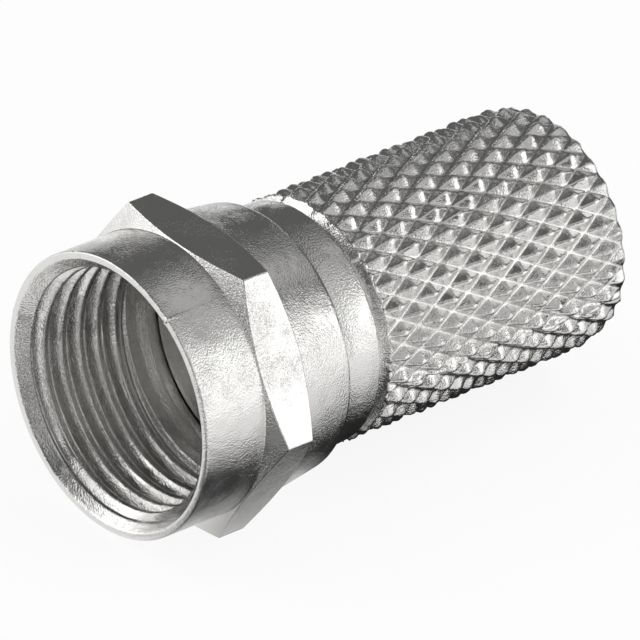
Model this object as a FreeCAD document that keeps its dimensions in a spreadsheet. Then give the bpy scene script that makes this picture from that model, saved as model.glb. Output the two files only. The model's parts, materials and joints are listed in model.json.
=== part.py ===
import FreeCAD, Part
import math
import os
import Sketcher

# Twist-on coaxial plug for a 7 mm television cable: a free-turning hexagon nut on a knurled sleeve.
# Both pieces are die-cast zinc with a nickel plating.
# Millimetres. X runs along the plug's axis from the open mouth of the nut to the cable end, Z is up,
# and the nut lies on one of its flats. The origin is on the axis, halfway along the plug.
# A station is a distance from the mouth, measured along the axis.

# Driving dimensions: name, value, what it is.
DRIVING = [
    ("nut_length", 6.80, "coupling nut from its mouth to its rear rim"),
    ("skirt_wall", 0.82, "round skirt in front of the hexagon, over the thread's crests"),
    ("mouth_chamfer", 0.12, "broken outer edge of the mouth"),
    ("lead_step", 0.52, "how much wider the plain entry is than the thread's crests"),
    ("lead_depth", 0.30, "straight length of the plain entry"),
    ("lead_taper", 0.30, "cone from the plain entry down to the thread"),
    ("thread_radius", 4.33, "crests of the 3/8-32 female thread"),
    ("thread_length", 4.00, "length of the thread"),
    ("thread_pitch", 0.794, "32 turns to the inch"),
    ("relief_step", 0.20, "how much wider the plain bore behind the thread is"),
    ("hex_across_flats", 10.40, "spanner size of the hexagon"),
    ("hex_corner_trim", 0.03, "how far the corners are turned down"),
    ("hex_front", 2.62, "station where the skirt meets the hexagon"),
    ("hex_front_cone", 0.36, "length of the cone on the front corners"),
    ("hex_corner_length", 1.06, "full length of a corner edge"),
    ("hex_rear_cone", 0.44, "length of the cone on the rear corners"),
    ("tail_wall", 0.63, "rear skirt where it leaves the hexagon, over the plain bore"),
    ("tail_end_wall", 0.31, "rear skirt at its rim, over the plain bore"),
    ("tail_rim_chamfer", 0.12, "broken edge of the rear rim"),
    ("web_thickness", 0.44, "inward web that the nut turns on"),
    ("swivel_gap", 0.05, "running clearance between nut and sleeve"),
    ("flange_slack", 0.05, "how much smaller the retaining flange is than the thread it is passed through"),
    ("flange_thickness", 0.46, "flange in front of the web"),
    ("flange_bevel", 0.10, "broken edge of the flange"),
    ("flange_lip", 0.68, "how far the flange stands out from the neck"),
    ("collar_front_radius", 4.22, "smooth collar next to the nut"),
    ("collar_rear_radius", 4.36, "smooth collar next to the knurl"),
    ("collar_length", 1.65, "smooth collar behind the nut"),
    ("collar_crown", 3.60, "radius of the collar's barrel curve"),
    ("groove_floor", 0.12, "flat floor of the groove behind the collar"),
    ("knurl_run_in", 0.30, "slope from the groove up to the first points"),
    ("knurl_length", 10.98, "knurled grip up to the cable end"),
    ("knurl_tip_radius", 4.47, "points of the knurl"),
    ("knurl_root_radius", 4.12, "valleys of the knurl"),
    ("knurl_end_drop", 0.12, "how much lower the points are on the two end rings"),
    ("knurl_starts", 30, "points round each ring"),
    ("knurl_angle", 30, "angle of the valleys to the axis, in degrees"),
    ("face_bore_radius", 3.30, "countersunk edge of the hole in the front face"),
    ("face_bore_depth", 0.45, "depth of that countersink"),
    ("core_bore_radius", 2.55, "hole for the cable's inner insulation"),
    ("cable_bore_radius", 3.30, "bore that bites the cable's jacket"),
    ("core_length", 2.55, "from the front face to where the cable's jacket stops"),
    ("cable_stop_cone", 0.40, "cone at the bottom of the cable bore"),
    ("cable_entry_radius", 3.70, "mouth of the cable bore"),
    ("cable_entry_depth", 0.35, "depth of that mouth"),
]
SIZES = {name: value for name, value, meaning in DRIVING}

# Sizes that follow from one driving dimension: name, value, expression in the sheet's names.
DERIVED = {
    "hex_corner": (SIZES["hex_across_flats"] / math.sqrt(3), "(Sizes.hex_across_flats / sqrt(3))"),
    "half_flats": (SIZES["hex_across_flats"] / 2, "(Sizes.hex_across_flats / 2)"),
    "half_groove": (SIZES["thread_pitch"] * 0.375, "(Sizes.thread_pitch * 0.375)"),
    "half_groove_floor": (SIZES["thread_pitch"] * 0.0625, "(Sizes.thread_pitch * 0.0625)"),
    "groove_depth": (SIZES["thread_pitch"] * 0.5413, "(Sizes.thread_pitch * 0.5413)"),
}

# Radii round the thread, as sums of sizes.
SKIRT = "thread_radius + skirt_wall"
LEAD = "thread_radius + lead_step"
RELIEF = "thread_radius + relief_step"
FLANGE = "thread_radius - flange_slack"
NECK = FLANGE + " - flange_lip"
WEB_HOLE = NECK + " + swivel_gap"

# Stations along the axis, as sums of sizes.
THREAD_START = "lead_depth + lead_taper"
THREAD_END = THREAD_START + " + thread_length"
CORNER_FRONT = "hex_front + hex_front_cone"
CORNER_REAR = CORNER_FRONT + " + hex_corner_length"
TAIL_START = CORNER_REAR + " + hex_rear_cone"
WEB_FRONT = "nut_length - web_thickness"
FLANGE_REAR = WEB_FRONT + " - swivel_gap"
FLANGE_FRONT = FLANGE_REAR + " - flange_thickness"
COLLAR_FRONT = "nut_length + swivel_gap"
COLLAR_REAR = COLLAR_FRONT + " + collar_length"
RUN_IN_START = COLLAR_REAR + " + groove_floor"
KNURL_START = RUN_IN_START + " + knurl_run_in"
PLUG_LENGTH = KNURL_START + " + knurl_length"
CABLE_STOP = FLANGE_FRONT + " + core_length"

doc = FreeCAD.newDocument("twist_on_plug")
sheet = doc.addObject("Spreadsheet::Sheet", "Sizes")
for row, (name, value, meaning) in enumerate(DRIVING, start=1):
    sheet.set(f"A{row}", name)
    sheet.set(f"B{row}", str(value))
    sheet.setAlias(f"B{row}", name)
    sheet.set(f"C{row}", meaning)
doc.recompute()


def number(total):
    """The value of a sum of sizes such as 'nut_length - web_thickness'."""
    result, sign = 0.0, 1
    for word in total.split():
        if word in ("+", "-"):
            sign = 1 if word == "+" else -1
        elif word in DERIVED:
            result += sign * DERIVED[word][0]
        elif word != "0":
            result += sign * SIZES[word]
    return result


def bound(total):
    """The same sum as an expression that reads the sheet."""
    words = []
    for word in total.split():
        if word in DERIVED:
            words.append(DERIVED[word][1])
        else:
            words.append("Sizes." + word if word in SIZES else word)
    return " ".join(words)


def new_body(label):
    """A body whose sketches count stations from the mouth."""
    body = doc.addObject("PartDesign::Body", label)
    body.Label = label
    body.setExpression("Placement.Base.x", f"-({bound(PLUG_LENGTH)}) / 2")
    return body


def add_sketch(body, name, role):
    """An empty sketch on one of the body's origin planes."""
    plane = next(item for item in body.Origin.OriginFeatures if item.Role == role)
    sketch = body.newObject("Sketcher::SketchObject", name)
    sketch.AttachmentSupport = (plane, [""])
    sketch.MapMode = "FlatFace"
    return sketch


def place_corner(sketch, edge, point, corner):
    """Dimensions one corner from the sketch's origin, bound to the sheet."""
    for kind, axis, total in (("DistanceX", -2, corner[0]), ("DistanceY", -1, corner[1])):
        if total == "0":
            sketch.addConstraint(Sketcher.Constraint("PointOnObject", edge, point, axis))
            continue
        index = sketch.addConstraint(Sketcher.Constraint(kind, edge, point, number(total)))
        sketch.renameConstraint(index, f"{kind}_{edge}")
        sketch.setExpression(f"Constraints.{kind}_{edge}", bound(total))


def draw_outline(sketch, corners):
    """A closed outline through corners, each a pair of sums of sizes.

    A third item on a corner names the radius of an arc that swells outwards to the next corner.
    """
    places = [FreeCAD.Vector(number(corner[0]), number(corner[1]), 0) for corner in corners]
    following = places[1:] + places[:1]
    arcs = {index: corner[2] for index, corner in enumerate(corners) if len(corner) > 2}
    for index, (start, end) in enumerate(zip(places, following)):
        if index in arcs:
            bend = SIZES[arcs[index]]
            chord = end - start
            outward = FreeCAD.Vector(-chord.y, chord.x, 0).normalize()
            rise = bend - math.sqrt(bend ** 2 - (chord.Length / 2) ** 2)
            sketch.addGeometry(Part.Arc(start, (start + end) / 2 + outward * rise, end))
        else:
            sketch.addGeometry(Part.LineSegment(start, end))
    # An arc is kept anticlockwise, so one that swells outwards starts at its later corner.
    for index in range(len(corners)):
        after = (index + 1) % len(corners)
        ends = (index, 1 if index in arcs else 2, after, 2 if after in arcs else 1)
        sketch.addConstraint(Sketcher.Constraint("Coincident", *ends))
    for index, corner in enumerate(corners):
        place_corner(sketch, index, 2 if index in arcs else 1, corner)
    for index, size in arcs.items():
        bend = sketch.addConstraint(Sketcher.Constraint("Radius", index, SIZES[size]))
        sketch.renameConstraint(bend, f"bend_{index}")
        sketch.setExpression(f"Constraints.bend_{index}", bound(size))


def turned_body(label, corners):
    """A body turned about the plug's axis from an outline of (station, radius) corners."""
    body = new_body(label)
    sketch = add_sketch(body, label + "_outline", "XY_Plane")
    draw_outline(sketch, corners)
    turned = body.newObject("PartDesign::Revolution", label + "_turned")
    turned.Profile = sketch
    turned.ReferenceAxis = (sketch, ["H_Axis"])
    turned.Angle = 360
    body.Tip = turned
    doc.recompute()
    return body


# Coupling nut: turned and bored, then six flats cut between the two skirts.
nut = turned_body("coupling_nut", [
    ("0", LEAD),
    ("0", SKIRT + " - mouth_chamfer"),
    ("mouth_chamfer", SKIRT),
    ("hex_front", SKIRT),
    (CORNER_FRONT, "hex_corner - hex_corner_trim"),
    (CORNER_REAR, "hex_corner - hex_corner_trim"),
    (TAIL_START, RELIEF + " + tail_wall"),
    ("nut_length - tail_rim_chamfer", RELIEF + " + tail_end_wall"),
    ("nut_length", RELIEF + " + tail_end_wall - tail_rim_chamfer"),
    ("nut_length", WEB_HOLE),
    (WEB_FRONT, WEB_HOLE),
    (WEB_FRONT, RELIEF),
    (THREAD_END, RELIEF),
    (THREAD_END, "thread_radius"),
    (THREAD_START, "thread_radius"),
    ("lead_depth", LEAD),
])

flat_sketch = add_sketch(nut, "flat_outline", "YZ_Plane")
flat_sketch.setExpression("AttachmentOffset.Base.z", bound("hex_front"))
draw_outline(flat_sketch, [
    ("- hex_corner", "half_flats"),
    ("hex_corner", "half_flats"),
    ("hex_corner", "hex_across_flats"),
    ("- hex_corner", "hex_across_flats"),
])
flat = nut.newObject("PartDesign::Pocket", "flat")
flat.Profile = flat_sketch
flat.Reversed = True
flat.setExpression("Length", bound(TAIL_START) + " - " + bound("hex_front"))
nut.Tip = flat
doc.recompute()

flats = nut.newObject("PartDesign::PolarPattern", "six_flats")
flats.Originals = [flat]
flats.Axis = (flat_sketch, ["N_Axis"])
flats.Angle = 360
flats.Occurrences = 6
nut.Tip = flats
doc.recompute()

# The thread is drawn as rings: one 60 degree groove at the standard depth, repeated at the pitch.
# As many grooves are cut as fit between the thread's two ends, and they are centred there.
THREAD_TURNS = "(floor(Sizes.thread_length / Sizes.thread_pitch - 0.75) + 1)"
turns = math.floor(SIZES["thread_length"] / SIZES["thread_pitch"] - 0.75) + 1
DERIVED["thread_margin"] = (
    (SIZES["thread_length"] - (turns - 1) * SIZES["thread_pitch"]) / 2,
    f"((Sizes.thread_length - ({THREAD_TURNS} - 1) * Sizes.thread_pitch) / 2)",
)
FIRST_GROOVE = THREAD_START + " + thread_margin"
groove_sketch = add_sketch(nut, "thread_groove_outline", "XY_Plane")
draw_outline(groove_sketch, [
    (FIRST_GROOVE + " - half_groove", "thread_radius"),
    (FIRST_GROOVE + " - half_groove_floor", "thread_radius + groove_depth"),
    (FIRST_GROOVE + " + half_groove_floor", "thread_radius + groove_depth"),
    (FIRST_GROOVE + " + half_groove", "thread_radius"),
])
groove = nut.newObject("PartDesign::Groove", "thread_groove")
groove.Profile = groove_sketch
groove.ReferenceAxis = (groove_sketch, ["H_Axis"])
groove.Angle = 360
nut.Tip = groove
doc.recompute()

thread = nut.newObject("PartDesign::LinearPattern", "thread_grooves")
thread.Originals = [groove]
thread.Direction = (groove_sketch, ["H_Axis"])
thread.setExpression("Length", f"({THREAD_TURNS} - 1) * Sizes.thread_pitch")
thread.setExpression("Occurrences", THREAD_TURNS)
nut.Tip = thread
doc.recompute()


# Cable sleeve: flange, neck and smooth collar are turned in front of the knurled grip.
front_end = turned_body("sleeve_front", [
    (FLANGE_FRONT, "0"),
    (FLANGE_FRONT, FLANGE + " - flange_bevel"),
    (FLANGE_FRONT + " + flange_bevel", FLANGE),
    (FLANGE_REAR, FLANGE),
    (FLANGE_REAR, NECK),
    (COLLAR_FRONT, NECK),
    (COLLAR_FRONT, "collar_front_radius", "collar_crown"),
    (COLLAR_REAR, "collar_rear_radius"),
    (COLLAR_REAR, "knurl_root_radius"),
    (RUN_IN_START, "knurl_root_radius"),
    (RUN_IN_START, "0"),
])

# Everything that is hollow in the sleeve, from the cable end to the countersunk front face.
cable_way = turned_body("cable_way", [
    (FLANGE_FRONT, "0"),
    (FLANGE_FRONT, "face_bore_radius"),
    (FLANGE_FRONT + " + face_bore_depth", "core_bore_radius"),
    (CABLE_STOP + " - cable_stop_cone", "core_bore_radius"),
    (CABLE_STOP, "cable_bore_radius"),
    (PLUG_LENGTH + " - cable_entry_depth", "cable_bore_radius"),
    (PLUG_LENGTH, "cable_entry_radius"),
    (PLUG_LENGTH, "0"),
])


def ring_of_points(station, tips, valleys, turn):
    """Corners of one ring, points and valleys in turn, starting with a point at angle turn."""
    ring = []
    for index in range(2 * SIZES["knurl_starts"]):
        radius = valleys if index % 2 else tips
        angle = turn + math.pi * index / SIZES["knurl_starts"]
        ring.append(FreeCAD.Vector(station, radius * math.cos(angle), radius * math.sin(angle)))
    return ring


def triangle(first, second, third):
    return Part.Face(Part.makePolygon([first, second, third, first]))


def knurled_solid():
    """Pointed diamonds between two families of crossing valleys, as a diamond knurl leaves them.

    Each ring has a point over every valley crossing of the rings beside it. The sides of a
    diamond fall from its point to two crossings on its own ring and one on each ring beside it.
    """
    step = math.pi / SIZES["knurl_starts"]
    half_pitch = SIZES["knurl_root_radius"] * step / math.tan(math.radians(SIZES["knurl_angle"]))
    bands = max(2, round(SIZES["knurl_length"] / half_pitch))
    root = SIZES["knurl_root_radius"]
    low_tip = SIZES["knurl_tip_radius"] - SIZES["knurl_end_drop"]
    shift = -number(PLUG_LENGTH) / 2
    rings = [ring_of_points(number(RUN_IN_START) + shift, root, root, 0)]
    for band in range(bands + 1):
        station = number(KNURL_START) + SIZES["knurl_length"] * band / bands
        tips = low_tip if band in (0, bands) else SIZES["knurl_tip_radius"]
        rings.append(ring_of_points(station + shift, tips, root, step * (band % 2)))

    faces = []
    count = len(rings[0])
    for level in range(1, len(rings)):
        # Rings are turned by one step in turn, so a place on the circle is counted from angle 0.
        here, there = rings[level - 1], rings[level]
        here_turn = (level - 2) % 2 if level > 1 else 0
        there_turn = (level - 1) % 2
        for place in range(count):
            a = here[(place - here_turn) % count]
            b = here[(place + 1 - here_turn) % count]
            c = there[(place - there_turn) % count]
            d = there[(place + 1 - there_turn) % count]
            valley_at_b = (place + 1 - there_turn) % 2 == 0
            if valley_at_b:
                faces += [triangle(a, b, c), triangle(d, c, b)]
            else:
                faces += [triangle(b, d, a), triangle(c, a, d)]
    for ring in (rings[0], rings[-1]):
        faces.append(Part.Face(Part.makePolygon(ring + ring[:1])))
    shell = Part.makeShell(faces)
    shell.sewShape()
    solid = Part.makeSolid(shell)
    if solid.Volume < 0:
        solid.reverse()
    return solid


knurl = doc.addObject("Part::Feature", "knurled_grip")
knurl.Shape = knurled_solid()

sleeve_blank = doc.addObject("Part::Fuse", "sleeve_blank")
sleeve_blank.Base = front_end
sleeve_blank.Tool = knurl

sleeve = doc.addObject("Part::Cut", "cable_sleeve")
sleeve.Base = sleeve_blank
sleeve.Tool = cable_way
sleeve.Label = "cable_sleeve"
doc.recompute()

for item in doc.Objects:
    if "Invalid" in item.State or "Error" in item.State:
        raise RuntimeError(f"{item.Label} failed: {item.State}")

os.makedirs("parts", exist_ok=True)
for piece in (nut, sleeve):
    shape = piece.Shape
    if shape.isNull() or not shape.isValid() or len(shape.Solids) != 1:
        raise RuntimeError(f"{piece.Label} is not one valid solid")
    shape.exportStep(f"parts/{piece.Label}.step")
    box = shape.BoundBox
    print(f"{piece.Label}: {shape.Volume:.2f} mm3, {len(shape.Faces)} faces, "
          f"x {box.XMin:.3f} to {box.XMax:.3f}, z {box.ZMin:.3f} to {box.ZMax:.3f}")
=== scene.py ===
# %% [markdown]
# A twist-on plug for television cable, about 20 mm long, in two pieces of nickel-plated cast zinc.
# A hexagon nut turns freely on a knurled sleeve. The frame holds both pieces at their real size, and
# this file dresses them: crisp but slightly rounded edges, the screw thread in the nut, the diamond
# knurl, the seams that the casting mould left, and the grain of the plated skin.

# %% Load the frame
import json
import math
import bpy
import numpy as np
from mathutils import Matrix, Vector


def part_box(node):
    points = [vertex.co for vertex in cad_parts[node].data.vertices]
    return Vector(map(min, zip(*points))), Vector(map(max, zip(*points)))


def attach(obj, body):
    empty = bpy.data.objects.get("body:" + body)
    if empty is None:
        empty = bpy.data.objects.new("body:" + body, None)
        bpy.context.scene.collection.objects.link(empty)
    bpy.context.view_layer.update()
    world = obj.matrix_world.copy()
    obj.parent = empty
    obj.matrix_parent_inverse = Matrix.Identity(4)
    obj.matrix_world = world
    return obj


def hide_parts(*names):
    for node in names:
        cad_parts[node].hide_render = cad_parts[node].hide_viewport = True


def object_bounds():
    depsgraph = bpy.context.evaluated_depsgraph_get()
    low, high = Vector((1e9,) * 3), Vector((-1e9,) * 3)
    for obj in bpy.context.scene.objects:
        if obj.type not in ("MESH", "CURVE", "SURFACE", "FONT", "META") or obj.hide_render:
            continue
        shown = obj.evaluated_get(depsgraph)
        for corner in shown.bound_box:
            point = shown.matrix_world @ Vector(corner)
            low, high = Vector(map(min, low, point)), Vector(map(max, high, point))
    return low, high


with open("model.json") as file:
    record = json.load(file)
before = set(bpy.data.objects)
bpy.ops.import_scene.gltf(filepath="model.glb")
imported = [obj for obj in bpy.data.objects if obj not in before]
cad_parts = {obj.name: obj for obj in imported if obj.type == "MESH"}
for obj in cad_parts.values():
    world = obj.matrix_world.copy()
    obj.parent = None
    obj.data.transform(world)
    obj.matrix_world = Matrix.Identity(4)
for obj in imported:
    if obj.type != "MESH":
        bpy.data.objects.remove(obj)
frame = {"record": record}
cad_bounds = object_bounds()
MM = 0.001
nut_low, nut_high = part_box("coupling_nut")
sleeve_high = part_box("cable_sleeve")[1]
MOUTH = nut_low.x / MM
NUT_LENGTH = (nut_high.x - nut_low.x) / MM
PLUG_LENGTH = (sleeve_high.x - nut_low.x) / MM
HALF_FLATS = -nut_low.z / MM
mounts = {mount["name"]: mount for mount in frame["record"]["mounts"]}
THREAD_RADIUS = mounts["port_thread"]["dims"]["r_mm"]
THREAD_LENGTH = mounts["port_thread"]["dims"]["length_mm"]
CABLE_BORE_RADIUS = mounts["cable_bore"]["dims"]["r_mm"]
CORE_BORE_RADIUS = mounts["insulation_bore"]["dims"]["r_mm"]
print(f"plug {PLUG_LENGTH:.2f} mm long, {2 * HALF_FLATS:.2f} mm across the flats, "
      f"thread radius {THREAD_RADIUS} mm")

# %% [markdown]
# Both pieces are round bars with a hole right through, so one idea makes them both. An outline is
# drawn as stations along the axis and radii, and carried round the axis. It may change on the way
# round, which gives the hexagon, the thread and the knurl. The outline is a closed loop, outside,
# rear face, bore and front face, so the mesh is closed like a bent tube and has no poles.
# A station is a distance in millimetres from the nut's mouth.

# %% Outlines carried round the axis
SIDE_SHARE = 0.4  # the most that a rounding takes of the shorter side next to it
FLAT_GUARD = 1.2  # the points that keep the sides flat lie this many reaches from the corner
WAVES = 40  # enough that no single direction shows in the lumps


def column_angles(count):
    """Equal angles round the axis, from +Y towards +Z."""
    return np.arange(count) * 2 * np.pi / count


def outline(corners, columns):
    """Stations and radii as one array (corner, column, 2). A number is the same in every column."""
    table = [[np.broadcast_to(value, columns) for value in corner] for corner in corners]
    return np.stack([np.stack(corner, axis=-1) for corner in table])


def soften(corners, reach, steps):
    """Rounds an open outline's inner corners, and keeps its two ends. reach is one number or one a corner.

    A corner P with neighbours at the distance reach, A before it and B behind it, becomes the curve
    (1-t)^2 A + 2t(1-t) P + t^2 B. One more point further out on each side keeps the sides flat.
    """
    before, here, after = corners[:-2], corners[1:-1], corners[2:]
    back, ahead = before - here, after - here
    back_length = np.linalg.norm(back, axis=-1, keepdims=True)
    ahead_length = np.linalg.norm(ahead, axis=-1, keepdims=True)
    back, ahead = back / back_length, ahead / ahead_length
    reach = np.broadcast_to(reach, len(here))[:, None, None]
    room = np.minimum(reach, SIDE_SHARE * np.minimum(back_length, ahead_length))
    t = np.linspace(0, 1, steps + 1)[:, None, None, None]
    start, end = here + back * room, here + ahead * room
    curve = (1 - t) ** 2 * start + 2 * t * (1 - t) * here + t ** 2 * end
    first, last = here + back * room * FLAT_GUARD, here + ahead * room * FLAT_GUARD
    curve = np.concatenate([first[None], curve, last[None]])
    curve = curve.swapaxes(0, 1).reshape(-1, *corners.shape[1:])
    return np.concatenate([corners[:1], curve, corners[-1:]])


def push_out(loop, amount):
    """Moves each point of closed outlines out of the metal by amount, along (-dr, ds) of its own outline."""
    along = np.roll(loop, -1, 0) - np.roll(loop, 1, 0)
    normal = np.stack([-along[..., 1], along[..., 0]], axis=-1)
    normal /= np.linalg.norm(normal, axis=-1, keepdims=True)
    return loop + normal * amount[..., None]


def round_the_axis(loop, angles):
    """Points (s + mouth, r cos a, r sin a) in metres, as (row, column, 3), from stations and radii in mm."""
    station, radius = loop[..., 0], loop[..., 1]
    points = np.stack([station + MOUTH, radius * np.cos(angles), radius * np.sin(angles)], axis=-1)
    return points * MM


def arc_from_seam(angles, radius, seams):
    """Distance along the arc to the nearest of the seams, which run the length of a piece."""
    return np.abs((angles[:, None] - seams + np.pi) % (2 * np.pi) - np.pi).min(axis=1) * radius


def crumple(points, size, seed):
    """A smooth random height between about -1 and 1 at points in metres, for lumps of a size in mm.

    It is the sum of plane waves sin(k . p + phase) in random directions, so it has no seam. Their
    counts per metre differ by up to 40%, and the sum is divided by the square root of 2 x WAVES.
    """
    chance = np.random.default_rng(seed)
    direction = chance.normal(size=(3, WAVES))
    direction *= 2 * np.pi / (size * MM) / np.linalg.norm(direction, axis=0)
    direction *= chance.uniform(0.6, 1.4, WAVES)
    phase = chance.uniform(0, 2 * np.pi, WAVES)
    return np.sin(points @ direction + phase).sum(-1) / math.sqrt(2 * WAVES)


# %% [markdown]
# The points of a grid become faces by index arithmetic. Every cell has two triangles, and the cell
# may choose which of its diagonals they share: in the knurl the valleys run along those diagonals,
# and a diagonal across a valley would make it look like a saw.

# %% Grids into meshes
def cell_triangles(first, second, lean=None):
    """Two triangles for each cell between two rings of vertex numbers, (row, column) each.

    first and second hold the numbers of a cell's two sides. lean is True where the shared diagonal
    runs back round the axis as it goes along it.
    """
    a, b = first, np.roll(first, -1, axis=-1)
    d, c = second, np.roll(second, -1, axis=-1)
    straight = np.stack([np.stack([a, b, c], -1), np.stack([a, c, d], -1)])
    leaning = np.stack([np.stack([a, b, d], -1), np.stack([b, c, d], -1)])
    if lean is None:
        lean = np.zeros(a.shape, bool)
    return np.where(lean[None, ..., None], leaning, straight).reshape(-1, 3)


def halving_triangles(fine, coarse):
    """Joins one ring to a ring with half as many points: three triangles for each coarse step."""
    a, b, c = fine[0::2], fine[1::2], np.roll(fine[0::2], -1)
    d, e = coarse, np.roll(coarse, -1)
    return np.concatenate([np.stack(t, -1) for t in ((a, b, d), (b, e, d), (b, c, e))])


def new_piece(name, points, triangles):
    """A smooth-shaded mesh object at the origin, from points (n, 3) and triangles (m, 3)."""
    mesh = bpy.data.meshes.new(name)
    mesh.from_pydata(points.reshape(-1, 3), [], triangles.tolist())
    mesh.polygons.foreach_set("use_smooth", np.ones(len(mesh.polygons), bool))
    mesh.update()
    piece = bpy.data.objects.new(name, mesh)
    bpy.context.scene.collection.objects.link(piece)
    print(f"{name}: {len(mesh.vertices)} points, {len(mesh.polygons)} triangles")
    return piece


# %% [markdown]
# The nut's outside is a cylinder in front, a hexagon with coned corners, and a slightly tapered
# tail. A hexagon in polar form is r = a / cos(angle from the nearest flat's middle). Its corners are
# rounded by a small circle. The columns crowd together at the corners, where the surface turns fast.
# The cones meet each flat in a curve, and here that is plain arithmetic: the cone is crossed where
# its radius equals the hexagon's radius in that column.

# %% The hexagon
CORNER_ROUNDING = 0.10
NUT_SECTOR_COLUMNS = 60
CROWDING = 0.9  # 0 spreads a sector's columns evenly, and 1 lets them touch at the corners


def nut_angles():
    """Angles that crowd at the six corners: each sector's share t is shifted by -0.9 sin(2 pi t) / (2 pi)."""
    t = np.arange(NUT_SECTOR_COLUMNS) / NUT_SECTOR_COLUMNS
    t = t - CROWDING * np.sin(2 * np.pi * t) / (2 * np.pi)
    sector = np.arange(6)[:, None]
    return ((sector + t) * np.pi / 3).ravel()


def hexagon_radius(angles):
    """Half the flats over the cosine from a flat's middle, or near a corner its circle's far side."""
    half_sector = math.pi / 6
    from_corner = np.abs((angles + half_sector) % (2 * half_sector) - half_sector)
    flat = HALF_FLATS / np.cos(half_sector - from_corner)
    centre = (HALF_FLATS - CORNER_ROUNDING) / math.cos(half_sector)
    inside = np.maximum(CORNER_ROUNDING ** 2 - (centre * np.sin(from_corner)) ** 2, 0)
    circle = centre * np.cos(from_corner) + np.sqrt(inside)
    to_touch = math.atan((HALF_FLATS - CORNER_ROUNDING) * math.tan(half_sector) / HALF_FLATS)
    return np.where(from_corner < half_sector - to_touch, circle, flat)


# %% [markdown]
# The screw thread inside the nut is a groove with walls 60 degrees apart that winds round the bore.
# It could be cut with a screw modifier and a boolean, but a boolean leaves torn slivers where the
# groove runs out. Here the bore's radius is a rule of the place along the axis and the angle, on the
# same grid as the rest of the nut. A straight cone at the mouth leads the port in, and at both ends
# the groove grows shallow, as the tap left it.

# %% The thread
THREAD_PITCH = 25.4 / 32
THREAD_DEPTH = 0.42
THREAD_START = 0.60
THREAD_END = THREAD_START + THREAD_LENGTH
MOUTH_RADIUS = 4.85
CONE_RADIUS, CONE_DEPTH = MOUTH_RADIUS + 0.05, THREAD_START + 0.05
GROOVE_START, GROOVE_RUN_IN = 0.10, 0.5
GROOVE_END, GROOVE_RUN_OUT = THREAD_END + 0.15, 0.6
HALF_FLOOR = THREAD_PITCH / 20
CREST_SOFTNESS = 0.04
RELIEF_RADIUS, RELIEF_SLOPE = 4.53, 1.5
THREAD_ROWS_PER_PITCH = 22


def thread_radius(station, angles):
    """The bore's radius where the thread is: the plain bore, or a groove of 60 degrees cut into it.

    The groove's middle moves one pitch along the axis in each turn. Its floor is a tenth of the
    pitch wide, and it fades out at both ends of the thread, where the tap runs in and out. The
    larger of the two radii is taken softly, as s log(e^(bore / s) + e^(groove / s)).
    """
    opened = np.clip(1 - station / CONE_DEPTH, 0, 1)
    plain = THREAD_RADIUS + (CONE_RADIUS - THREAD_RADIUS) * opened
    behind = THREAD_RADIUS + (station - THREAD_END) * RELIEF_SLOPE
    plain = np.where(station > THREAD_END, np.minimum(behind, RELIEF_RADIUS), plain)
    turn = (station - THREAD_START) / THREAD_PITCH - angles / (2 * np.pi)
    off_middle = np.abs(turn - np.round(turn)) * THREAD_PITCH
    depth = THREAD_DEPTH * np.clip((GROOVE_END - station) / GROOVE_RUN_OUT, 0, 1)
    depth = depth * np.clip((station - GROOVE_START) / GROOVE_RUN_IN, 0, 1)
    wall = np.maximum(off_middle - HALF_FLOOR, 0) * math.sqrt(3)
    groove = THREAD_RADIUS + depth - wall
    return CREST_SOFTNESS * np.logaddexp(plain / CREST_SOFTNESS, groove / CREST_SOFTNESS)


print(f"thread: {THREAD_LENGTH / THREAD_PITCH:.1f} turns of {THREAD_PITCH:.3f} mm")

# %% [markdown]
# Now the nut's outline can be closed. From the mouth's rim it goes back over the skirt, the hexagon
# and the tail, down the rear face to the hole that holds the sleeve, and forward through the bore.
# Each corner gets a small curve, because a casting has no sharp edge, and a curve catches the light.

# %% The nut's outline
SKIRT_RADIUS = 5.15
TAIL_RADIUS, TAIL_END_RADIUS = 5.16, 4.84
RIM_INNER_RADIUS = MOUTH_RADIUS + 0.06
HEX_FRONT, HEX_FRONT_CONE, HEX_CORNER_LENGTH, HEX_REAR_CONE = 2.62, 0.36, 1.06, 0.44
WEB_THICKNESS, WEB_HOLE_RADIUS = 0.44, 3.65
RELIEF_START, RELIEF_NECK_RADIUS = THREAD_END + 0.35, 4.36
SHOULDER_START, SHOULDER_END = RELIEF_START + 0.20, RELIEF_START + 0.55
EDGE_ROUNDING, MOUTH_ROUNDING, REAR_RIM_ROUNDING = 0.035, 0.09, 0.20


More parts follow.
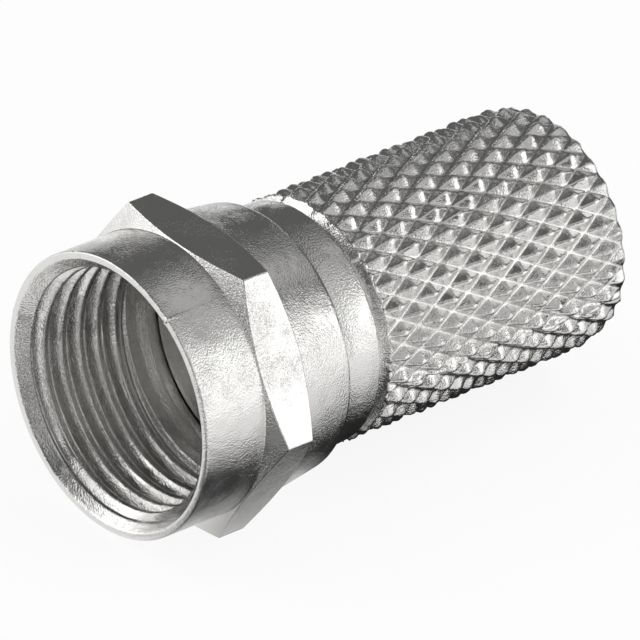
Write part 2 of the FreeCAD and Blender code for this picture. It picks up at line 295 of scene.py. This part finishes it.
def nut_loop(angles):
    """The nut's whole outline in every column: outside, rear face, web, relief, thread and mouth."""
    columns = len(angles)
    hexagon = hexagon_radius(angles)
    corner = HALF_FLATS / math.cos(math.pi / 6)
    front_slope = HEX_FRONT_CONE / (corner - SKIRT_RADIUS)
    rear_slope = HEX_REAR_CONE / (corner - TAIL_RADIUS)
    hex_rear = HEX_FRONT + HEX_FRONT_CONE + HEX_CORNER_LENGTH + HEX_REAR_CONE
    flat_front = HEX_FRONT + (hexagon - SKIRT_RADIUS) * front_slope
    flat_rear = hex_rear - (hexagon - TAIL_RADIUS) * rear_slope
    web_front = NUT_LENGTH - WEB_THICKNESS
    corners = [
        (0, RIM_INNER_RADIUS),
        (0, SKIRT_RADIUS),
        (HEX_FRONT, SKIRT_RADIUS),
        (flat_front, hexagon),
        (flat_rear, hexagon),
        (hex_rear, TAIL_RADIUS),
        (NUT_LENGTH, TAIL_END_RADIUS),
        (NUT_LENGTH, WEB_HOLE_RADIUS),
        (web_front, WEB_HOLE_RADIUS),
        (web_front, RELIEF_NECK_RADIUS),
        (SHOULDER_END, RELIEF_NECK_RADIUS),
        (SHOULDER_START, RELIEF_RADIUS),
        (RELIEF_START, RELIEF_RADIUS),
    ]
    reach = np.full(len(corners) - 2, EDGE_ROUNDING)
    reach[0], reach[5] = MOUTH_ROUNDING, REAR_RIM_ROUNDING
    last, first = RELIEF_START - 0.02, 0.05  # just short of the outline's two ends
    rows = math.ceil(last * THREAD_ROWS_PER_PITCH / THREAD_PITCH)
    station = np.linspace(last, first, rows)[:, None] + np.zeros(columns)
    threaded = np.stack([station, thread_radius(station, angles)], axis=-1)
    return np.concatenate([soften(outline(corners, columns), reach, steps=6), threaded])


# %% [markdown]
# A casting mould closes in two halves. Where they met, a fine ragged ridge stays, one half stands a
# hair prouder than the other, and small nubs of flash are left at the rim. On a grid these need no
# sculpting: each is a height over the surface, which falls away with the distance from the seam, and
# the finished outline is pushed out by it.

# %% Build the nut
NUT_SEAMS, NUBS = np.radians([120.0, 300.0]), np.radians([120.0, 9.0])
TAIL_STATION = 4.5  # just behind the hexagon: the ridge is stronger on the tail than on the skirt
SKIRT_RIDGE, TAIL_RIDGE, RIDGE_WIDTH = 0.005, 0.012, 0.022
MISMATCH, MISMATCH_WIDTH = 0.0015, 0.02
NUB_HEIGHT, NUB_WIDTH, NUB_LENGTH = 0.035, 0.07, 0.10


def build_nut():
    """The outline pushed out of the metal along the mould's seams: height = ragged x exp(-(arc / width)^2).

    One mould half also stands a few thousandths of a millimetre prouder than the other, and two
    nubs of flash sit on the mouth's rim, one on a seam and one on the rim's far side.
    """
    angles = nut_angles()
    loop = nut_loop(angles)
    station, radius = loop[..., 0], loop[..., 1]
    away = arc_from_seam(angles, radius, NUT_SEAMS)
    ragged = np.clip(0.55 + crumple(round_the_axis(loop, angles), 0.9, seed=2), 0.1, 1)
    ridge = np.where(station > TAIL_STATION, TAIL_RIDGE, SKIRT_RIDGE)
    ridge = ridge * ragged * np.exp(-(away / RIDGE_WIDTH) ** 2)
    mismatch = MISMATCH * np.tanh(np.sin(angles - NUT_SEAMS[0]) * radius / MISMATCH_WIDTH)
    nub_away = arc_from_seam(angles, radius, NUBS)
    nub = NUB_HEIGHT * np.exp(-(nub_away / NUB_WIDTH) ** 2 - (station / NUB_LENGTH) ** 2)
    outer = radius > MOUTH_RADIUS + 0.03
    loop = push_out(loop, np.where(outer, ridge + mismatch + nub, 0))
    points = round_the_axis(loop, angles)
    numbers = np.arange(points.shape[0] * points.shape[1]).reshape(points.shape[:2])
    triangles = cell_triangles(numbers, np.roll(numbers, -1, axis=0))
    return new_piece("nut_finish", points, triangles)


nut = build_nut()
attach(nut, "nut")
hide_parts("coupling_nut")

# %% [markdown]
# The sleeve is one casting: a flange inside the nut, a neck, a smooth barrel-shaped collar and the
# long knurled grip. Its front half is an outline like the nut's. The collar's rear edge is ragged
# and its seam is a row of dashes, because cast edges are never as clean as turned ones. Lumps from
# the same random waves, a few hundredths of a millimetre high, are enough to show that.

# %% The front of the sleeve
FLANGE_RADIUS, FLANGE_BEVEL = 4.28, 0.10
FLANGE_FRONT, FLANGE_REAR = 5.85, 6.31
NECK_RADIUS = 3.60
COLLAR_FRONT, COLLAR_REAR = 6.85, 8.50
COLLAR_FRONT_RADIUS, COLLAR_REAR_RADIUS, COLLAR_CROWN = 4.22, 4.36, 3.60
COLLAR_RIDGE, COLLAR_DASH, COLLAR_RIDGE_WIDTH, COLLAR_DENTS = 0.010, 0.022, 0.035, 0.003
EDGE_RAGGED, EDGE_RAGGED_WIDTH = 0.022, 0.10
FLANGE_ROUNDING, GROOVE_ROUNDING = 0.05, 0.06
GROOVE_REAR = 8.62
KNURL_START, KNURL_ROOT_RADIUS = 8.92, 4.12
RUN_IN_TOP_RADIUS = 4.38
FACE_BORE_RADIUS, FACE_BORE_DEPTH = 3.30, 0.45
SLEEVE_SEAMS = np.radians([9.6, 189.6])


def sleeve_front(angles):
    """The outline from the flange's front face to the top of the slope before the knurl.

    The collar's side is a parabola, straight line + 4 t (1 - t) x sagitta, with t from end to end.
    """
    columns = len(angles)
    half = (COLLAR_REAR - COLLAR_FRONT) / 2
    sagitta = COLLAR_CROWN - math.sqrt(COLLAR_CROWN ** 2 - half ** 2)
    widening = COLLAR_REAR_RADIUS - COLLAR_FRONT_RADIUS
    crown = outline([
        (COLLAR_FRONT + t * 2 * half,
         COLLAR_FRONT_RADIUS + t * widening + 4 * t * (1 - t) * sagitta)
        for t in np.linspace(0.1, 0.9, 9)], columns)
    flange = outline([
        (FLANGE_FRONT, FACE_BORE_RADIUS),
        (FLANGE_FRONT, FLANGE_RADIUS - FLANGE_BEVEL),
        (FLANGE_FRONT + FLANGE_BEVEL, FLANGE_RADIUS),
        (FLANGE_REAR, FLANGE_RADIUS),
        (FLANGE_REAR, NECK_RADIUS),
        (COLLAR_FRONT, NECK_RADIUS),
        (COLLAR_FRONT, COLLAR_FRONT_RADIUS)], columns)
    groove = outline([
        (COLLAR_REAR, COLLAR_REAR_RADIUS),
        (COLLAR_REAR, KNURL_ROOT_RADIUS),
        (GROOVE_REAR, KNURL_ROOT_RADIUS),
        (KNURL_START - 0.02, RUN_IN_TOP_RADIUS - 0.015)], columns)
    flange = soften(np.concatenate([flange, crown[:1]]), FLANGE_ROUNDING, steps=3)
    groove = soften(np.concatenate([crown[-1:], groove]), GROOVE_ROUNDING, steps=4)
    front = np.concatenate([flange, crown[1:-1], groove])
    places = round_the_axis(front, angles)
    edge = np.exp(-((front[..., 0] - COLLAR_REAR) / EDGE_RAGGED_WIDTH) ** 2)
    front[..., 0] += EDGE_RAGGED * edge * crumple(places, 0.45, seed=6)
    away = arc_from_seam(angles, COLLAR_REAR_RADIUS, SLEEVE_SEAMS)
    dashes = np.clip(0.2 + 1.2 * crumple(places, 0.5, seed=7), 0, 1)
    # The flange and the neck are inside the nut, and stay plain.
    on_collar = (front[..., 0] > COLLAR_FRONT + 0.02) & (front[..., 1] > NECK_RADIUS + 0.3)
    ridge = (COLLAR_RIDGE + COLLAR_DASH * dashes) * np.exp(-(away / COLLAR_RIDGE_WIDTH) ** 2)
    dents = COLLAR_DENTS * crumple(places, 0.5, seed=8)
    front[..., 1] += np.where(on_collar, ridge + dents, 0)
    return front


# %% [markdown]
# A diamond knurl is two families of V valleys that cross, rolled or cast into the grip. One could
# array a small pyramid four hundred times, but the pyramids would have to be joined. With one
# coordinate counted across each family, the height at a place is the smaller of the two distances
# from a valley, which leaves a four-sided point in every cell. Real cast points are blunt and a
# little crumpled, so the height is rounded at both ends, and small random lumps are added.

# %% The knurl
KNURL_TIP_RADIUS, KNURL_END_DROP = 4.47, 0.22
KNURL_STARTS, KNURL_BANDS = 30, 14
KNURL_STEPS = 8
SLEEVE_COLUMNS = 2 * KNURL_STARTS * KNURL_STEPS
POINT_POWER = 5
VALLEY_BLEND, POINT_BLEND = 0.06, 0.36
END_REACH = 1.2  # bands from the cable end over which the points get lower
LUMP_ROOM = 0.02
COARSE_LUMPS, FINE_LUMPS = (0.020, 0.50), (0.013, 0.24)  # height and width in mm
RUN_IN_SLOPE, RUN_IN_RAGGED = 1.6, 0.05
FIN_LOW, FIN_RISE, FIN_WIDTH = 0.24, 0.22, 0.05


def from_crest_lines(along, around):
    """Distances from the line halfway between two valleys, one for each family, as shares of their spacing.

    along and around are counted in steps, KNURL_STEPS of them from a point to a valley crossing.
    """
    cycle = 2 * KNURL_STEPS
    one, two = (around + along) / cycle, (around - along) / cycle
    return np.abs(one - np.round(one)), np.abs(two - np.round(two))


def knurl_height(along, around):
    """Share of the knurl's depth at a place: the smaller of its distances from the two valley families.

    With p and q counted from the two crest lines, that is 1 - 2 max(p, q). The larger one is taken
    softly, as (p^5 + q^5)^(1/5), so that a point's four edges are round. Below the valley's blend
    the share becomes a parabola, and so it does above one less the point's blend.
    """
    one, two = from_crest_lines(along, around)
    share = np.maximum(1 - 2 * (one ** POINT_POWER + two ** POINT_POWER) ** (1 / POINT_POWER), 0)
    low = share ** 2 / (2 * VALLEY_BLEND) + VALLEY_BLEND / 2
    high = 1 - POINT_BLEND / 2 - (1 - share) ** 2 / (2 * POINT_BLEND)
    height = np.where(share < VALLEY_BLEND, low, np.where(share > 1 - POINT_BLEND, high, share))
    return height / (1 - POINT_BLEND / 2)


def knurled_grip(angles):
    """Radius = root + (tip - root) x share, with lumps, a slope at the front and a rounded rear edge.

    On the seams a ragged fin of flash fills the valleys to near the tips.
    """
    band = (PLUG_LENGTH - KNURL_START) / KNURL_BANDS
    along = np.arange(KNURL_BANDS * KNURL_STEPS + 1)[:, None]
    around = np.arange(len(angles))[None, :]
    station = KNURL_START + along * band / KNURL_STEPS + np.zeros(len(angles))
    to_rear = (PLUG_LENGTH - station) / (END_REACH * band)
    tip = KNURL_TIP_RADIUS - LUMP_ROOM - KNURL_END_DROP * np.clip(1 - to_rear, 0, 1) ** 2
    share = knurl_height(along, around)
    radius = KNURL_ROOT_RADIUS + (tip - KNURL_ROOT_RADIUS) * share
    places = round_the_axis(np.stack([station, radius], axis=-1), angles)
    lumps = COARSE_LUMPS[0] * crumple(places, COARSE_LUMPS[1], seed=3)
    lumps = lumps + FINE_LUMPS[0] * crumple(places, FINE_LUMPS[1], seed=4)
    radius = radius + lumps * np.clip(along / 4, 0, 1) * (0.5 + 0.5 * np.clip(share, 0, 1))
    ragged = RUN_IN_RAGGED * crumple(places, 0.35, seed=9)
    run_in = RUN_IN_TOP_RADIUS - RUN_IN_SLOPE * (station - KNURL_START + ragged - 0.03)
    radius = np.maximum(radius, run_in)
    away = arc_from_seam(angles, KNURL_TIP_RADIUS, SLEEVE_SEAMS)
    rise = FIN_RISE * np.clip(0.4 + 1.3 * crumple(places, 0.6, seed=5), 0, 1)
    fin = KNURL_TIP_RADIUS - FIN_LOW + rise
    on_seam = np.clip(1.4 * np.exp(-(away / FIN_WIDTH) ** 2), 0, 1)
    on_seam = on_seam * np.clip(along / 3, 0, 1) * np.clip(to_rear, 0, 1)
    radius = radius + np.maximum(fin - radius, 0) * on_seam
    return np.stack([station, np.minimum(radius, KNURL_TIP_RADIUS)], axis=-1)


print(f"knurl: about {KNURL_STARTS * KNURL_BANDS} points, "
      f"{2 * math.pi * KNURL_TIP_RADIUS / KNURL_STARTS:.2f} mm apart round the grip")

# %% [markdown]
# The cable is pushed in from the rear and twisted. Coarse ridges cut into its jacket and hold it,
# like the thread of a wood screw, and a cone stops it where only the thin core goes on. The ridges
# are made as the nut's thread was, by a rule for the bore's radius.

# %% The bore of the sleeve
CABLE_STOP, CABLE_STOP_CONE = 8.40, 0.40
CABLE_ENTRY_RADIUS, CABLE_ENTRY_DEPTH = 3.70, 0.35
BITE_PITCH, BITE_HEIGHT = 1.25, 0.22
BITE_ROWS_PER_PITCH = 8
BITE_RUN_IN, BITE_RUN_OUT = 0.8, 0.4
BORE_ROUNDING = 0.04


def sleeve_inside(angles):
    """The outline from the cable end back to the front face, with ridges that bite the cable's jacket.

    A ridge is cos^2(2 pi t) x cos^2(pi t) high, with t counted in turns from its middle.
    """
    columns = len(angles)
    entry_end = PLUG_LENGTH - CABLE_ENTRY_DEPTH
    entry = outline([
        (PLUG_LENGTH, CABLE_ENTRY_RADIUS + 0.06),
        (PLUG_LENGTH, CABLE_ENTRY_RADIUS),
        (entry_end, CABLE_BORE_RADIUS),
        (entry_end - 0.2, CABLE_BORE_RADIUS),
    ], columns)
    start, end = entry_end - 0.25, CABLE_STOP + 0.25
    rows = math.ceil((start - end) / BITE_PITCH * BITE_ROWS_PER_PITCH)
    station = np.linspace(start, end, rows)[:, None] + np.zeros(columns)
    turn = (station - CABLE_STOP) / BITE_PITCH - angles / (2 * np.pi)
    ridge = np.cos(2 * np.pi * turn) ** 2 * np.cos(np.pi * turn) ** 2
    fade = np.clip((start - station) / BITE_RUN_IN, 0, 1) * np.clip((station - end) / BITE_RUN_OUT, 0, 1)
    bite = np.stack([station, CABLE_BORE_RADIUS - BITE_HEIGHT * ridge * fade], axis=-1)
    core = outline([
        (end - 0.05, CABLE_BORE_RADIUS),
        (CABLE_STOP, CABLE_BORE_RADIUS),
        (CABLE_STOP - CABLE_STOP_CONE, CORE_BORE_RADIUS),
        (FLANGE_FRONT + FACE_BORE_DEPTH, CORE_BORE_RADIUS),
        (FLANGE_FRONT, FACE_BORE_RADIUS - 0.02),
    ], columns)
    entry, core = soften(entry, BORE_ROUNDING, steps=2), soften(core, BORE_ROUNDING, steps=2)
    return np.concatenate([entry, bite, core])


# %% Build the sleeve
def build_sleeve():
    """Front, knurl and bore, joined ring to ring. Only the knurl has every column."""
    fine = column_angles(SLEEVE_COLUMNS)
    coarse = fine[::2]
    parts = [round_the_axis(sleeve_front(coarse), coarse),
             round_the_axis(knurled_grip(fine), fine),
             round_the_axis(sleeve_inside(coarse), coarse)]
    numbers, used = [], 0
    for part in parts:
        count = part.shape[0] * part.shape[1]
        numbers.append(used + np.arange(count).reshape(part.shape[:2]))
        used += count
    front, grip, inside = numbers
    middle_along = np.arange(len(grip) - 1)[:, None] + 0.5
    middle_around = np.arange(SLEEVE_COLUMNS)[None, :] + 0.5
    one, two = from_crest_lines(middle_along, middle_around)
    triangles = np.concatenate([
        cell_triangles(front[:-1], front[1:]),
        halving_triangles(grip[0], front[-1])[:, ::-1],
        cell_triangles(grip[:-1], grip[1:], lean=one > two),
        halving_triangles(grip[-1], inside[0]),
        cell_triangles(inside[:-1], inside[1:]),
        cell_triangles(inside[-1:], front[:1]),
    ])
    points = np.concatenate([part.reshape(-1, 3) for part in parts])
    return new_piece("sleeve_finish", points, triangles)


sleeve = build_sleeve()
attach(sleeve, "sleeve")
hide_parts("cable_sleeve")

# %% [markdown]
# Nickel plate is a true metal: all of its look is reflection. Its colour is a light grey that is
# hardly warm. Bright plating over a casting keeps the casting's orange-peel skin, so the surface
# mirrors smoothly where its surroundings are even, and breaks into bright and dark specks where a
# light ends. That is bump, with lumps under 0.1 mm wide that come and go in patches, and a low
# roughness that changes a little from place to place, as handling leaves it.

# %% Material helpers
def linear(hex_colour):
    """sRGB hex to linear RGBA: c / 12.92 below 0.04045, else ((c + 0.055) / 1.055) ** 2.4."""
    parts = [int(hex_colour[i:i + 2], 16) / 255 for i in (1, 3, 5)]
    return [c / 12.92 if c <= 0.04045 else ((c + 0.055) / 1.055) ** 2.4 for c in parts] + [1.0]


def add_node(tree, kind, inputs=None, **settings):
    """One node with its settings. An input is a value, or an output socket to link."""
    node = tree.nodes.new(kind)
    for key, value in settings.items():
        setattr(node, key, value)
    for key, value in (inputs or {}).items():
        if isinstance(value, bpy.types.NodeSocket):
            tree.links.new(value, node.inputs[key])
        else:
            node.inputs[key].default_value = value
    return node


def empty_material(name):
    """A material with nodes switched on and none in it yet, and its node tree."""
    material = bpy.data.materials.new(name)
    material.use_nodes = True
    material.node_tree.nodes.clear()
    return material, material.node_tree


# %% Nickel plate
NICKEL_COLOUR = "#DFDEDC"
NICKEL_ROUGHNESS = 0.10
GRAIN_MM, GRAIN_HEIGHT_MM = 0.060, 0.021
WEAR_MM = 1.6


def nickel_plate(name):
    """Nickel plating on cast zinc. Bright and slightly warm, mirrors softly, with an orange-peel skin.

    The finest real grain is too small to show in the render, so the lumps are drawn 0.06 mm wide,
    which is about two pixels. The wear pattern of 1.6 mm makes them higher or lower in patches and
    moves the roughness from 0.85 to 1.25 of its value.
    """
    material, tree = empty_material(name)
    place = add_node(tree, "ShaderNodeTexCoord").outputs["Object"]
    peel = add_node(tree, "ShaderNodeTexNoise", {
        "Vector": place, "Scale": 1 / (GRAIN_MM * MM), "Detail": 1.5, "Roughness": 0.5})
    wear = add_node(tree, "ShaderNodeTexNoise", {
        "Vector": place, "Scale": 1 / (WEAR_MM * MM), "Detail": 3.0, "Roughness": 0.6})
    patchy = add_node(tree, "ShaderNodeMapRange", {
        "Value": wear.outputs["Fac"], "From Min": 0.38, "From Max": 0.62, "To Min": 0.45, "To Max": 1.55})
    height = add_node(tree, "ShaderNodeMath", {0: peel.outputs["Fac"], 1: patchy.outputs[0]},
                      operation="MULTIPLY")
    bump = add_node(tree, "ShaderNodeBump", {
        "Height": height.outputs[0], "Strength": 1.0, "Distance": GRAIN_HEIGHT_MM * MM})
    worn = add_node(tree, "ShaderNodeMapRange", {
        "Value": wear.outputs["Fac"], "From Min": 0.35, "From Max": 0.65,
        "To Min": NICKEL_ROUGHNESS * 0.85, "To Max": NICKEL_ROUGHNESS * 1.25})
    shader = add_node(tree, "ShaderNodeBsdfPrincipled", {
        "Base Color": linear(NICKEL_COLOUR), "Metallic": 1.0, "Roughness": worn.outputs[0],
        "Normal": bump.outputs["Normal"]})
    add_node(tree, "ShaderNodeOutputMaterial", {"Surface": shader.outputs["BSDF"]})
    print(f"{name}: {len(tree.nodes)} nodes, grain {GRAIN_MM} mm wide")
    return material


cast_nickel = nickel_plate("bright_nickel_on_cast_zinc")
nut.data.materials.append(cast_nickel)
sleeve.data.materials.append(cast_nickel)

# %% [markdown]
# The stage is a white floor that the nut's lower flat rests on. A lamp that made a matt floor white
# would burn out the metal, so the floor glows by itself for the rays that look at it or mirror it,
# and stays matt for all others. A tenth of the matt shading is kept, and with it the soft shadow.

# %% The floor
FLOOR_GLOW = 0.90
FLOOR_REACH = 1.5


def stage_material(name, colour):
    """A matt white floor. Camera, glossy and transmission rays see it near white, with the shadow kept."""
    material, tree = empty_material(name)
    matt = add_node(tree, "ShaderNodeBsdfDiffuse", {"Color": linear(colour)})
    glow = add_node(tree, "ShaderNodeEmission", {"Color": linear("#FFFFFF"), "Strength": 1.0})
    both = add_node(tree, "ShaderNodeMixShader", {"Fac": FLOOR_GLOW, 1: matt.outputs[0], 2: glow.outputs[0]})
    path = add_node(tree, "ShaderNodeLightPath")
    seen = path.outputs["Is Camera Ray"]
    for ray in ("Is Glossy Ray", "Is Transmission Ray"):
        seen = add_node(tree, "ShaderNodeMath", {0: seen, 1: path.outputs[ray]},
                        operation="ADD", use_clamp=True).outputs[0]
    surface = add_node(tree, "ShaderNodeMixShader", {"Fac": seen, 1: matt.outputs[0], 2: both.outputs[0]})
    add_node(tree, "ShaderNodeOutputMaterial", {"Surface": surface.outputs[0]})
    return material


def build_floor(level):
    """One large square at the level of the nut's lowest flat, in metres."""
    low, high = -FLOOR_REACH, FLOOR_REACH
    mesh = bpy.data.meshes.new("floor")
    mesh.from_pydata([(low, low, level), (high, low, level), (high, high, level), (low, high, level)],
                     [], [(0, 1, 2, 3)])
    mesh.materials.append(stage_material("white_matt_floor", "#FFFFFF"))
    floor = bpy.data.objects.new("floor", mesh)
    bpy.context.scene.collection.objects.link(floor)


# %% [markdown]
# Bright metal on a white floor mirrors the floor and would have no dark lower edge. So the floor's
# shade beside and under the plug is painted: a dark sheet that only reflections see, which stands
# in for that shadow. How dark it is at a place comes from an attribute on its grid: darkest close
# beside the plug and under the sleeve, thinner in front of the mouth and far behind the cable end.

# %% The painted shade sheet
SHADE_SHEET_CELL = 0.75
PAINTED_SHADE_PATCHES = {
    # place: x from and to, y from and to, width of the soft edge, all in mm, and cover of painted shade
    "under the sleeve": (-3, 19, -8.4, 5, 1.8, 0.99),
    "in front of the mouth": (-32, -10.5, -20, 3.0, 3.0, 0.75),
    "far behind the cable end": (11, 45, 5, 40, 7.0, 0.58),
}


# Painted shade: the floor's shadow beside and under the plug, given as a cover from 0 to 1.
def painted_shade_amount(x, y):
    """How much painted shade covers the floor at (x, y) in mm, from 0 to 1.

    Beside the plug it grows from y = -1.6 over 3.4 mm, and beyond y = -8.5 it thins out by a factor
    e every 5 mm. Along the plug it grows from x = -19 over 5 mm, and near x = 2.5 it falls to 0.42
    of that. The patches go with it, and the largest cover at a place wins.
    """
    def patch(x0, x1, y0, y1, soft, cover):
        """A patch with smooth edges: the distance inside each side over soft, as 3 t^2 - 2 t^3."""
        inside = [np.clip(d / soft, 0, 1) for d in (x - x0, x1 - x, y - y0, y1 - y)]
        return cover * math.prod(t * t * (3 - 2 * t) for t in inside)

    beside = 0.97 * np.exp(-np.clip(-8.5 - y, 0, None) / 5) * np.clip((-1.6 - y) / 3.4, 0, 1)
    beside = beside * np.clip((x + 19) / 5, 0, 1) * np.clip((2.5 - x) / 4, 0.42, 1)
    return np.max([beside] + [patch(*numbers) for numbers in PAINTED_SHADE_PATCHES.values()], axis=0)


def painted_shade_material(name, colour):
    """Painted shade for reflections: a dark matt sheet that thins out to nothing at its edges, as a soft
    shadow does.
    """
    material, tree = empty_material(name)
    cover = add_node(tree, "ShaderNodeAttribute", attribute_name="cover").outputs["Fac"]
    clear = add_node(tree, "ShaderNodeBsdfTransparent")
    dark_shade = add_node(tree, "ShaderNodeBsdfDiffuse", {"Color": linear(colour)})
    surface = add_node(tree, "ShaderNodeMixShader", {"Fac": cover, 1: clear.outputs[0], 2: dark_shade.outputs[0]})
    add_node(tree, "ShaderNodeOutputMaterial", {"Surface": surface.outputs[0]})
    return material


def build_painted_shade_sheet(level):
    """A grid of small cells that carries the painted shade's cover, which only the metal sees."""
    x, y = np.meshgrid(np.arange(-31, 46, SHADE_SHEET_CELL), np.arange(-40, 41, SHADE_SHEET_CELL), indexing="ij")
    points = np.stack([x * MM, y * MM, np.full(x.shape, level)], axis=-1)
    number = np.arange(x.size).reshape(x.shape)
    cells = np.stack([number[:-1, :-1], number[1:, :-1], number[1:, 1:], number[:-1, 1:]], axis=-1)
    mesh = bpy.data.meshes.new("black_card")
    mesh.from_pydata(points.reshape(-1, 3), [], cells.reshape(-1, 4).tolist())
    mesh.attributes.new("cover", "FLOAT", "POINT").data.foreach_set("value", painted_shade_amount(x, y).ravel())
    mesh.materials.append(painted_shade_material("matt_black_card", "#303030"))
    shade_sheet = bpy.data.objects.new("black_card", mesh)
    bpy.context.scene.collection.objects.link(shade_sheet)
    # Only glossy rays see this painted shade, so it shows only in the metal's reflections.
    shade_sheet.visible_camera = shade_sheet.visible_diffuse = shade_sheet.visible_shadow = shade_sheet.visible_transmission = False
    print(f"painted shade sheet: {len(mesh.polygons)} cells of {SHADE_SHEET_CELL} mm")


floor_level = cad_bounds[0][2]
build_floor(floor_level)
# Painted shade for the metal's reflections, laid just above the floor.
build_painted_shade_sheet(floor_level + 0.02 * MM)

# %% [markdown]
# Metal shows its surroundings, so each lamp is placed by what a side of the plug should mirror. One
# soft box stands to the right and a wide one behind on the left, and between them the walls are dim.
# Weaker ones hang overhead and in front, and a small one faces the mouth and lights the thread. A
# large, even fill from straight above lights the floor and is hidden from reflections.

# %% Lamps and world
WALL_BRIGHTNESS = 0.13
LAMP_DISTANCE = 0.4
LAMPS = [
    # name, azimuth and elevation in degrees, width and height in metres, brightness
    ("right_soft_box", 142, 15, (0.40, 0.30), 1.32),
    ("back_left_soft_box", -38, 20, (0.43, 0.36), 1.42),
    ("overhead_soft_box", 115, 56, (0.44, 0.28), 0.36),
    ("front_soft_box", 205, 46, (0.50, 0.44), 0.40),
    ("mouth_soft_box", 270, 3, (0.22, 0.13), 0.8),
    ("floor_fill", 0, 90, (0.9, 0.9), 0.62),
]


def soft_box(name, azimuth, elevation, size, brightness):
    """A rectangular area lamp that faces the plug. Its power is brightness x pi x its area.

    The azimuth is counted from +Y towards +X, and the elevation from the floor up.
    """
    lamp = bpy.data.lights.new(name, "AREA")
    lamp.shape = "RECTANGLE"
    lamp.size, lamp.size_y = size
    lamp.energy = brightness * math.pi * size[0] * size[1]
    lamp_object = bpy.data.objects.new(name, lamp)
    bpy.context.scene.collection.objects.link(lamp_object)
    az, el = math.radians(azimuth), math.radians(elevation)
    way = Vector((math.sin(az) * math.cos(el), math.cos(az) * math.cos(el), math.sin(el)))
    lamp_object.location = way * LAMP_DISTANCE
    lamp_object.rotation_euler = way.to_track_quat("Z", "Y").to_euler()
    lamp_object.visible_camera = False
    return lamp_object


def plain_world(strength):
    """Dim walls for everything but the camera, which sees them white."""
    world = bpy.data.worlds.new("studio")
    world.use_nodes = True
    tree = world.node_tree
    tree.nodes.clear()
    path = add_node(tree, "ShaderNodeLightPath")
    level = add_node(tree, "ShaderNodeMapRange", {
        "Value": path.outputs["Is Camera Ray"], "To Min": strength, "To Max": 1.0})
    sky = add_node(tree, "ShaderNodeBackground", {"Color": linear("#FFFFFF"), "Strength": level.outputs[0]})
    add_node(tree, "ShaderNodeOutputWorld", {"Surface": sky.outputs[0]})
    bpy.context.scene.world = world


plain_world(WALL_BRIGHTNESS)
lamps = {lamp[0]: soft_box(*lamp) for lamp in LAMPS}
lamps["floor_fill"].visible_glossy = False
print(f"{len(lamps)} soft boxes, walls at {WALL_BRIGHTNESS} of white")

# %% [markdown]
# The camera stands well back with a long lens, as product photographers do, so the plug hardly
# tapers. Its direction, roll and distance come from matching the plug's outline to the photograph's.

# %% Camera
VIEW_AZIMUTH, VIEW_ELEVATION, VIEW_ROLL = 44.125, 31.964, -5.644
VIEW_TARGET = Vector((-0.3013, 0.0145, -0.3195)) * MM
VIEW_DISTANCE = 0.530877
FOCAL_LENGTH, SENSOR_WIDTH = 871.58, 36.0


def build_camera():
    """The camera's three directions: look, from azimuth and elevation, then top and side, turned by roll.

    Level right = look x Z, level up = right x look, and top = up cos(roll) + right sin(roll).
    """
    az, el, roll = (math.radians(v) for v in (VIEW_AZIMUTH, VIEW_ELEVATION, VIEW_ROLL))
    look = Vector((math.sin(az) * math.cos(el), math.cos(az) * math.cos(el), -math.sin(el)))
    right = look.cross(Vector((0, 0, 1))).normalized()
    up = right.cross(look)
    top = up * math.cos(roll) + right * math.sin(roll)
    side = look.cross(top)
    lens = bpy.data.cameras.new("camera")
    lens.lens = FOCAL_LENGTH
    lens.sensor_width = SENSOR_WIDTH
    camera = bpy.data.objects.new("camera", lens)
    bpy.context.scene.collection.objects.link(camera)
    turn = Matrix((side, top, -look)).transposed().to_4x4()
    camera.matrix_world = Matrix.Translation(VIEW_TARGET - look * VIEW_DISTANCE) @ turn
    bpy.context.scene.camera = camera


build_camera()
bpy.context.scene.view_settings.view_transform = "Standard"
